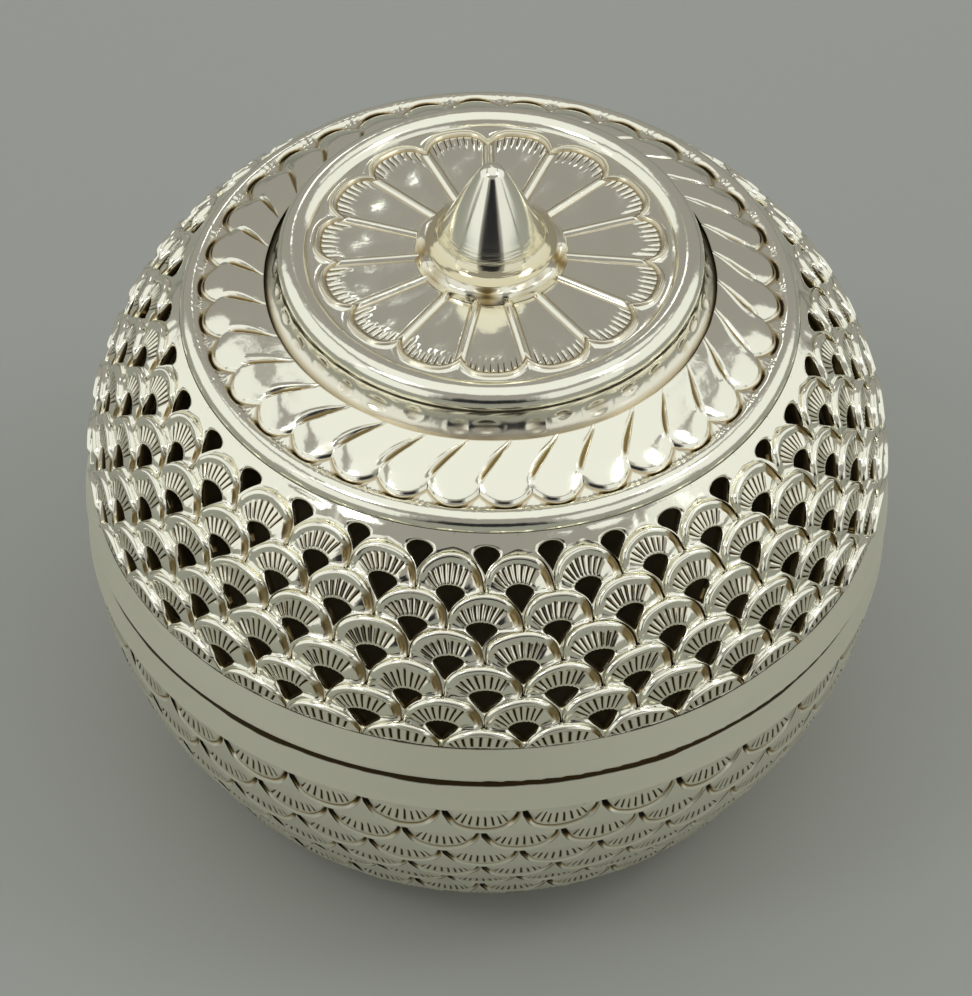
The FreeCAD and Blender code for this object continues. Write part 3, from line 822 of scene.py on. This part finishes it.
def flute_tile(name, seed):
    """One panel of the gadroon with its slanted crescent flute and scalloped border."""
    chance = random.Random(seed)
    depth = chance.uniform(0.85, 1.15)
    wide = chance.uniform(0.9, 1.1)
    lean = chance.uniform(0.66, 0.8)
    columns = [-0.5, -0.42, -0.33, -0.25, -0.19, -0.15, -0.115, -0.085, -0.055, -0.028, 0.0]
    columns += [-place for place in reversed(columns[:-1])]
    border = [-1.0, -0.8, -0.6, -0.4, -0.2, 0.0, 0.25, 0.5, 0.75, 1.0]
    rows = spread(-4.0, -1.2, 9) + border + [1.0 + place for place in spread(0.05, 1.0, 18)]

    def relief(column, row):
        edge = RIDGE_WAY + 0.35 + 1.35 * (1 - abs(column) * 2) ** 2.1
        inner = RIDGE_WAY + SHELF_WAY
        if row <= -1.0:
            y = (edge - 0.3) * (row + 4.0) / 3.0
            foot = smooth(RIDGE_WAY - 0.35, RIDGE_WAY + 0.05, y)
            line = hump(RIDGE_WAY, 0.35, y)
            near = smooth(-1.6, -1.0, row)
            return column, y, -0.08 * foot - 0.08 * line - 0.08 * near, 0.45 * line + 0.5 * near
        if row <= 1.0:
            y = edge + 0.3 * row
            rise = smooth(-0.7, 1.0, row)
            return column, y, -0.16 + 0.3 * rise, 0.5 - 0.5 * smooth(-0.8, 0.2, row)
        part = row - 1.0
        y = edge + 0.3 + (inner - edge - 0.3) * part
        pillow = 0.14 + 0.36 * smooth(-0.25, 1.0, part * 2.6) - 0.15 * smooth(0.7, 1.0, part)
        along = (y - RIDGE_WAY - 2.3) / (SHELF_WAY - 2.4)
        crescent = hump(0.45, 0.6, along)
        half = (0.026 + 0.066 * crescent) * wide
        cut = max(0.0, 1 - (column / half) ** 2) * smooth(0.0, 0.2, along)
        cut *= 1 - smooth(0.93, 1.0, along)
        lip = hump(-half * 1.5, half * 0.9, column) * smooth(0.0, 0.2, along)
        slope = (0.72 + (lean - 0.72) * (1 - abs(column) * 2)) * max(along, 0.0) ** 1.5
        height = pillow - 0.36 * depth * cut * (0.3 + 0.7 * crescent) + 0.09 * lip
        sunk = 0.62 * cut + 0.38 * smooth(0.93, 1.0, part)
        return column + slope, y, height, sunk

    return grid_tile(name, columns, rows, relief)


class BOX_OT_shoulder(bpy.types.Operator):
    """Ridge and slanted gadroon inside it"""

    bl_idname = "silver_box.shoulder"
    bl_label = "Gadrooned shoulder"

    def execute(self, context):
        s = sizes()
        tiles = [flute_tile(f"flute_{seed}", seed) for seed in (41, 42, 43, 44)]
        piece = wrap_round(
            "lid_shoulder", tiles, row_layout(s.flutes_round, [[0, 1, 2, 3]], 9, start=0.358),
            shoulder_profile(), material_of("chased_silver"), copies=s.flutes_round,
            wobble=0.3 * MM, seed=4.0,
        )
        finish_piece(piece, "lid", "lid_dome")
        top = top_of("lid_dome")
        inner = [
            (SEAT_RADIUS, top), (SEAT_RADIUS, top - SHELF_WALL), (SHELF_RADIUS, top - SHELF_WALL),
            (RIDGE_INSIDE, top - RIDGE_DROP - SHELF_WALL),
            (s.dome_top_radius - 0.6 * MM, dome_top() - 0.7 * MM), (s.dome_top_radius, dome_top()),
        ]
        lining = turned_piece("lid_shoulder_underside", [inner])
        finish_piece(lining, "lid", "lid_dome")
        return {"FINISHED"}


def petal_tile(name, seed):
    """One petal of the medallion with raised border lines and strokes in its round end."""
    chance = random.Random(seed)
    places = [-0.35 + 0.1 * step + chance.uniform(-0.012, 0.012) for step in range(8)]
    depths = [chance.uniform(0.7, 1.2) for _ in places]
    ends = [chance.uniform(1.5, 2.1) for _ in places]
    columns = [-0.5, -0.485, -0.465, -0.445, -0.42, -0.395]
    for place in places:
        columns += [place - 0.016, place, place + 0.016]
    columns += [0.395, 0.42, 0.445, 0.465, 0.485, 0.5]
    rows = [-2.0, -1.5, -1.0, -0.6, -0.3, 0.0, 0.3, 0.6, 1.0]
    rows += [1.02, 1.05, 1.1, 1.15, 1.2, 1.26, 1.32, 1.4, 1.5, 1.6, 1.7, 1.8, 1.9, 2.0]
    bore = BEAD_BORE / MM
    petals = sizes().petals_round
    reach = 11.9

    def relief(column, row):
        edge = 0.9 + 1.75 * abs(column * 2) ** 3.2
        if row <= -1.0:
            y = (edge - 0.45) * (row + 2.0)
            return column, y, -0.05, 0.42 * hump(-2.0, 0.5, row)
        if row <= 1.0:
            y = edge + 0.45 * row
            return column, y, -0.05 + 0.3 * hump(0.0, 1.0, row), 0.3 + 0.25 * abs(row)
        part = row - 1.0
        y = edge + 0.45 + (reach - edge - 0.45) * part
        across = (0.5 - abs(column)) * math.tau * (bore - y) / petals
        line = hump(0.0, 0.5, across)
        side = hump(0.48, 0.24, across)
        swell = smooth(0.5, 2.4, across) * smooth(0.3, 3.4, y - edge) * (1 - smooth(0.4, 1.0, part))
        dish = hump(0.0, 0.36, column) * hump(3.3, 2.1, y - edge)
        height = -0.05 + 0.36 * line + 0.06 * swell - 0.11 * dish
        sunk = 0.3 * line + 0.5 * side
        for place, depth, end in zip(places, depths, ends):
            if abs(column - place) < 0.011:
                cut = smooth(0.45, 0.6, y - edge) * (1 - smooth(end - 0.25, end + 0.05, y - edge))
                height -= 0.16 * depth * cut
                sunk = max(sunk, 0.95 * cut)
        return column, y, height, sunk

    return grid_tile(name, columns, rows, relief)


def medallion_level():
    """Height of the medallion's flat."""
    return foot_of("finial_flange")


class BOX_OT_medallion(bpy.types.Operator):
    """Petals and the coved, beaded rim about them"""

    bl_idname = "silver_box.medallion"
    bl_label = "Medallion"

    def execute(self, context):
        s = sizes()
        level = medallion_level()
        points = [Vector((BEAD_BORE * (1 - step / 24), level)) for step in range(24)]
        tiles = [petal_tile(f"petal_{seed}", seed) for seed in (51, 52, 53)]
        petals = wrap_round(
            "medallion_petals", tiles,
            row_layout(s.petals_round, [[0, 1, 2]], 10, start=0.321), points,
            material_of("chased_silver"), copies=s.petals_round, wobble=0.25 * MM, seed=7.0,
        )
        foot = Vector((SHELF_RADIUS, top_of("lid_dome")))
        knee = foot + Vector((-COVE_INSET, COVE_RISE))
        points = arc_points(knee, foot, COVE_BEND, 12)[::-1]
        points += arc_points(knee, (BEAD_BORE, level), BEAD_BEND, 24)[1:]
        tiles = [dimple_tile(f"dimple_{seed}", seed) for seed in (61, 62, 63, 64, 65)]
        rim = wrap_round(
            "medallion_rim", tiles, row_layout(s.dimples_round, [[0, 1, 2, 3, 4]], 14), points,
            material_of("chased_silver"), copies=s.dimples_round, wobble=0.3 * MM, seed=3.0,
        )
        under = [
            (0, level - SHEET), (BEAD_BORE, level - SHEET), (19.5 * MM, knee.y - SHEET),
            (SEAT_RADIUS, foot.y), (foot.x, foot.y),
        ]
        for piece in (petals, rim, turned_piece("medallion_underside", [under])):
            finish_piece(piece, "lid", "lid_medallion")
        return {"FINISHED"}


def dimple_tile(name, seed):
    """A stretch of the coved wall with one punched dimple, and the smooth bead above."""
    chance = random.Random(seed)
    centre = (chance.uniform(-0.3, 0.3), chance.uniform(1.2, 2.3))
    size = chance.uniform(0.3, 0.75)
    depth = chance.uniform(0.05, 0.2)
    stretch = chance.uniform(0.5, 1.1)
    cove_radius = 20.6
    pitch = math.tau * cove_radius / sizes().dimples_round

    def relief(column, row):
        across = (column - centre[0]) * stretch * pitch
        away = math.hypot(across, row - centre[1])
        pit = max(0.0, 1 - (away / size) ** 2) ** 1.5
        lip = hump(size * 1.15, size * 0.4, away)
        wall = 1 - smooth(2.6, 3.0, row)
        # The coved wall is tinted darker all over, and more so towards its foot by the shelf.
        cove_darkening = 0.2 * (1 - smooth(0.2, 1.0, row)) + 0.3
        return column, row, (0.05 * lip - depth * pit) * wall, wall * (cove_darkening + 0.12 * pit)

    rows = spread(0.0, 2.9, 16) + spread(3.1, 8.5, 20)
    return grid_tile(name, spread(-0.5, 0.5, 12), rows, relief)


class BOX_OT_finial(bpy.types.Operator):
    """Cone finial on its hammered flange"""

    bl_idname = "silver_box.finial"
    bl_label = "Finial"

    def execute(self, context):
        foot = foot_of("finial")
        tip = top_of("finial")
        knee = (4.75 * MM, foot + 1.6 * MM)
        neck = (1.15 * MM, tip - 0.55 * MM)
        points = arc_points(knee, (6.3 * MM, foot), 2.2 * MM, 12)[::-1]
        points += arc_points(knee, neck, 70 * MM, 40)[1:]
        points += arc_points(neck, (0.01 * MM, tip), 1.6 * MM, 10)[1:]
        tile = grid_tile(
            "cone", spread(-0.5, 0.5, 120), spread(0.0, way_along(points) / MM, 60),
            lambda column, row: (column, row, 0.0, 0.35 * (1 - smooth(0.0, 1.2, row))),
        )
        cone = wrap_round(
            "finial_cone", [tile], [(0, 0, 0, (0, 0, 0))], points, material_of("polished_silver"),
            copies=1, wobble=0.15 * MM, seed=5.0,
        )
        finish_piece(cone, "lid", "finial")
        edge = Vector((reach_of("finial_flange"), medallion_level()))
        side = edge + Vector((0, 0.4 * MM))
        points = [edge, edge.lerp(side, 0.5)]
        points += arc_points(side, (6.4 * MM, foot), 1.0 * MM, 12)
        points += [Vector((6.0 * MM, foot)), Vector((5.2 * MM, foot))]
        tile = grid_tile(
            "flange", spread(-0.5, 0.5, 200), spread(0, way_along(points) / MM, 26), lobes
        )
        flange = wrap_round(
            "finial_hammered_flange", [tile], [(0, 0, 0, (0, 0, 0))], points,
            material_of("chased_silver"), copies=1, wobble=0.5 * MM, seed=8.0,
        )
        finish_piece(flange, "lid", "finial_flange")
        return {"FINISHED"}


def lobes(column, row):
    """Hammered lobes round the flange."""
    turn = math.tau * column
    wave = math.sin(9 * turn + 0.7) + 0.7 * math.sin(5 * turn) + 0.6 * math.sin(14 * turn + 2)
    ends = smooth(0.0, 0.4, row) * (1 - smooth(1.5, 2.2, row))
    return column, row, (-0.2 + 0.17 * wave) * ends, 0.38 - 0.08 * wave


def new_material(name):
    """An empty metal, the call that adds its nodes, and its shader."""
    material = bpy.data.materials.new(name)
    material.use_nodes = True
    tree = material.node_tree
    tree.nodes.clear()
    add = partial(add_node, tree)
    shader = add("ShaderNodeBsdfPrincipled", {"Metallic": 1.0})
    add("ShaderNodeOutputMaterial", {"Surface": shader})
    return material, add, shader


def chased_silver(name="chased_silver", polish=0.13):
    """Sterling silver, raised and chased, then polished on its high places.

    The eye sees a bright, slightly rippled mirror, with warm tarnish in the recesses and
    near black in the cuts.
    """
    material, add, shader = new_material(name)
    s = sizes()
    recess = add("ShaderNodeAttribute", attribute_name="recess").outputs["Fac"]
    depth = add("ShaderNodeMapRange", {"Value": recess, "From Min": 0.26, "From Max": 0.56})
    dark = add("ShaderNodeMapRange", {"Value": recess, "From Min": 0.5, "From Max": 0.74})
    colour = tuple(s.silver)
    for share, below in ((depth, s.tarnish), (dark, s.soot)):
        colour = add(
            "ShaderNodeMix", {0: share, 6: colour, 7: tuple(below)}, data_type="RGBA"
        ).outputs[2]
    rough = add("ShaderNodeMapRange", {"Value": depth, "To Min": polish, "To Max": 0.45})
    coords = add("ShaderNodeTexCoord").outputs["Object"]
    ripple = add("ShaderNodeTexNoise", {"Vector": coords, "Scale": 380.0, "Detail": 3.0})
    bump = add("ShaderNodeBump", {"Height": ripple, "Strength": 0.22, "Distance": 0.25 * MM})
    set_inputs(shader, {"Base Color": colour, "Roughness": rough, "Normal": bump})
    return material


def rubbed_silver():
    """The same chased silver on the bowl, which hands have rubbed to a satin."""
    return chased_silver("rubbed_silver", 0.36)


def polished_silver():
    """Turned silver, polished to a mirror, with file marks left round its foot and a painted pale
    gold reflection there.
    """
    material, add, shader = new_material("polished_silver")
    coords = add("ShaderNodeTexCoord").outputs["Object"]
    height = add("ShaderNodeSeparateXYZ", {0: coords}).outputs[2]
    foot = foot_of("finial")
    low = add("ShaderNodeMapRange", {"Value": height, "From Min": foot + 3 * MM, "From Max": foot})
    # The pale gold towards the foot is a painted reflection; the file marks there are bumps.
    colour = add(
        "ShaderNodeMix", {0: low, 6: tuple(sizes().silver), 7: srgb("#DFD3AE")}, data_type="RGBA"
    ).outputs[2]
    stretch = add("ShaderNodeMapping", {"Vector": coords, "Scale": (300.0, 300.0, 4200.0)})
    marks = add("ShaderNodeTexNoise", {"Vector": stretch, "Scale": 1.0, "Detail": 2.0})
    scored = add("ShaderNodeMath", {0: marks, 1: low}, operation="MULTIPLY")
    bump = add("ShaderNodeBump", {"Height": scored, "Strength": 0.5, "Distance": 0.12 * MM})
    set_inputs(shader, {"Base Color": colour, "Roughness": 0.12, "Normal": bump})
    return material


def dull_silver():
    """The inside of the sheet, never polished: brown and grey tarnish with a dull sheen."""
    material, add, shader = new_material("dull_silver")
    coords = add("ShaderNodeTexCoord").outputs["Object"]
    patches = add("ShaderNodeTexNoise", {"Vector": coords, "Scale": 180.0, "Detail": 5.0})
    colour = add(
        "ShaderNodeMix", {0: patches, 6: srgb("#7A6B4E"), 7: srgb("#A89A7C")}, data_type="RGBA"
    ).outputs[2]
    set_inputs(shader, {"Base Color": colour, "Roughness": 0.5})
    return material


def satin_silver():
    """Sterling silver strip, rubbed with fine abrasive and worn to a satin.

    Brown tarnish runs along the solder line under the dome. Just under the joint of the lid, the
    dark brown is partly tarnish and partly painted shade from the lid band's overhang.
    """
    material, add, shader = new_material("satin_silver")
    coords = add("ShaderNodeTexCoord").outputs["Object"]
    stretch = add("ShaderNodeMapping", {"Vector": coords, "Scale": (60.0, 60.0, 2600.0)})
    lines = add("ShaderNodeTexNoise", {"Vector": stretch, "Scale": 1.0, "Detail": 3.0})
    stains = add("ShaderNodeTexNoise", {"Vector": coords, "Scale": 90.0, "Detail": 6.0})
    height = add("ShaderNodeSeparateXYZ", {0: coords}).outputs[2]
    flat = add("ShaderNodeVectorMath", {0: coords, 1: (1.0, 1.0, 0.0)}, operation="MULTIPLY")
    radius = add("ShaderNodeVectorMath", {0: flat}, operation="LENGTH").outputs["Value"]
    outside = add(
        "ShaderNodeMath", {0: radius, 1: reach_of("bowl_collar") - 0.3 * MM},
        operation="GREATER_THAN",
    )
    colour = tuple(sizes().silver)
    joint = (top_of("bowl_band") + foot_of("lid_band")) / 2
    # Dark brown bands: just under the joint, tarnish plus painted shade under the lid band's
    # overhang; at the dome's foot, tarnish along the solder line.
    for level, reach in ((joint - 0.5 * MM, 0.62 * MM), (top_of("lid_band"), 0.26 * MM)):
        above = add("ShaderNodeMath", {0: height, 1: level}, operation="SUBTRACT")
        away = add("ShaderNodeMath", {0: above}, operation="ABSOLUTE")
        near = add(
            "ShaderNodeMath", {0: stains, 1: -reach * 2.0, 2: reach * 1.9}, operation="MULTIPLY_ADD"
        )
        edge = add("ShaderNodeMath", {0: near, 1: 0.14 * MM}, operation="SUBTRACT")
        brown = add("ShaderNodeMapRange", {"Value": away, "From Min": near, "From Max": edge})
        share = add("ShaderNodeMath", {0: brown, 1: outside}, operation="MULTIPLY")
        colour = add(
            "ShaderNodeMix", {0: share, 6: colour, 7: srgb("#44361F")}, data_type="RGBA"
        ).outputs[2]
    rough = add("ShaderNodeMapRange", {"Value": lines, "To Min": 0.4, "To Max": 0.56})
    bump = add("ShaderNodeBump", {"Height": lines, "Strength": 0.12, "Distance": 0.05 * MM})
    set_inputs(shader, {"Base Color": colour, "Roughness": rough, "Normal": bump})
    return material


MATERIALS = {
    "chased_silver": chased_silver,
    "rubbed_silver": rubbed_silver,
    "satin_silver": satin_silver,
    "polished_silver": polished_silver,
    "dull_silver": dull_silver,
}


def material_of(name):
    """A material of the box, made the first time it is asked for."""
    return bpy.data.materials.get(name) or MATERIALS[name]()


class BOX_OT_stage(bpy.types.Operator):
    """Floor, soft lamps and the camera"""

    bl_idname = "silver_box.stage"
    bl_label = "Stage"

    def execute(self, context):
        scene = context.scene
        scene.view_settings.view_transform = "Standard"
        half = 9
        corners = [(-half, -half, 0), (half, -half, 0), (half, half, 0), (-half, half, 0)]
        floor = link(bpy.data.objects.new("floor", new_mesh("floor", corners, [(0, 1, 2, 3)])))
        material, _, shader = new_material("floor_paper")
        set_inputs(shader, {"Metallic": 0.0, "Base Color": srgb("#A7A8A1"), "Roughness": 0.9})
        floor.data.materials.append(material)
        scene.world = studio_world()
        for name, place, size, glow in (
            ("panel_left", (-1.0, 0.15, 0.45), 1.2, 0.6),
            ("panel_right", (1.0, 0.15, 0.45), 1.2, 0.6),
            ("panel_front_left", (-0.85, -0.8, 0.4), 0.9, 0.6),
            ("panel_front_right", (0.85, -0.8, 0.4), 0.9, 0.55),
            ("panel_top", (0.0, 0.05, 1.1), 1.25, 0.62),
            ("lamp_left", (-0.55, -0.35, 0.9), 0.24, 4.0),
            ("lamp_right", (0.6, -0.1, 0.85), 0.22, 4.0),
            ("lamp_back", (-0.15, 0.85, 0.73), 0.14, 2.0),
        ):
            add_lamp(name, place, size, glow)
        add_camera(scene)
        return {"FINISHED"}


def studio_world():
    """Even grey light all round, with the dim side of the room in front of the box."""
    world = bpy.data.worlds.new("studio")
    world.use_nodes = True
    tree = world.node_tree
    add = partial(add_node, tree)
    way = add("ShaderNodeTexCoord").outputs["Object"]
    parts = add("ShaderNodeSeparateXYZ", {0: way}).outputs
    side = add("ShaderNodeMath", {0: parts[0]}, operation="ABSOLUTE")
    wide = add("ShaderNodeMath", {0: parts[2], 1: 0.35, 2: side}, operation="MULTIPLY_ADD")
    dim = add("ShaderNodeLightPath").outputs["Is Glossy Ray"]
    for value, bright, dark in (
        (wide, 0.43, 0.34), (parts[1], -0.3, -0.55), (parts[2], 0.47, 0.37),
    ):
        part = add("ShaderNodeMapRange", {"Value": value, "From Min": bright, "From Max": dark})
        dim = add("ShaderNodeMath", {0: dim, 1: part}, operation="MULTIPLY")
    colour = add(
        "ShaderNodeMix", {0: dim, 6: srgb("#9C9B99"), 7: srgb("#26272C")}, data_type="RGBA"
    ).outputs[2]
    set_inputs(tree.nodes["Background"], {"Color": colour})
    return world


def add_lamp(name, place, size, glow):
    """A square soft lamp that faces the box; glow is how bright its face is."""
    lamp = bpy.data.lights.new(name, "AREA")
    lamp.energy = glow * math.pi * size**2
    lamp.size = size
    lamp.color = (0.94, 1.0, 1.03)
    obj = link(bpy.data.objects.new(name, lamp))
    obj.location = place
    obj.rotation_euler = (Vector(place) - Vector((0, 0, 0.03))).to_track_quat("Z", "Y").to_euler()


def add_camera(scene):
    """The camera at the photograph's view: 46 degrees up, with a slight roll."""
    tilt = Matrix.Rotation(math.radians(90 - 46.46), 4, "X")
    roll = Matrix.Rotation(math.radians(0.96), 4, "Z")
    distance = Matrix.Translation((0, 0, 560 * MM))
    target = Matrix.Translation((-0.08 * MM, 0, foot_of("lid_band") - 2.76 * MM))
    data = bpy.data.cameras.new("camera")
    data.sensor_width = 36
    data.lens = 201.9
    data.clip_start = 0.01
    camera = link(bpy.data.objects.new("camera", data))
    camera.matrix_world = target @ tilt @ roll @ distance
    scene.camera = camera


class BOX_OT_plain_parts(bpy.types.Operator):
    """Finish of the pieces that keep the frame's own shapes"""

    bl_idname = "silver_box.plain_parts"
    bl_label = "Plain parts"

    def execute(self, context):
        for obj in frame["nodes"].values():
            for slot in obj.material_slots:
                slot.material = material_of("satin_silver")
        return {"FINISHED"}


class BOX_PT_panel(bpy.types.Panel):
    """Builds the box piece by piece"""

    bl_label = "Silver box"
    bl_idname = "BOX_PT_panel"
    bl_space_type = "VIEW_3D"
    bl_region_type = "UI"
    bl_category = "Silver box"

    def draw(self, context):
        for operator in OPERATORS:
            self.layout.operator(operator.bl_idname)


OPERATORS = (
    BOX_OT_plain_parts,
    BOX_OT_pierced_dome,
    BOX_OT_chased_bowl,
    BOX_OT_shoulder,
    BOX_OT_medallion,
    BOX_OT_finial,
    BOX_OT_stage,
)
CLASSES = (SilverBoxSizes, *OPERATORS, BOX_PT_panel)


def register():
    """Adds the classes and the sizes."""
    for item in CLASSES:
        bpy.utils.register_class(item)
    bpy.types.Scene.silver_box = bpy.props.PointerProperty(type=SilverBoxSizes)


def unregister():
    """Takes the classes and the sizes away."""
    del bpy.types.Scene.silver_box
    for item in reversed(CLASSES):
        bpy.utils.unregister_class(item)


def main():
    """Builds the box and its stage."""
    register()
    bpy.ops.silver_box.plain_parts()
    bpy.ops.silver_box.pierced_dome()
    bpy.ops.silver_box.chased_bowl()
    bpy.ops.silver_box.shoulder()
    bpy.ops.silver_box.medallion()
    bpy.ops.silver_box.finial()
    bpy.ops.silver_box.stage()


if __name__ == "__main__":
    main()
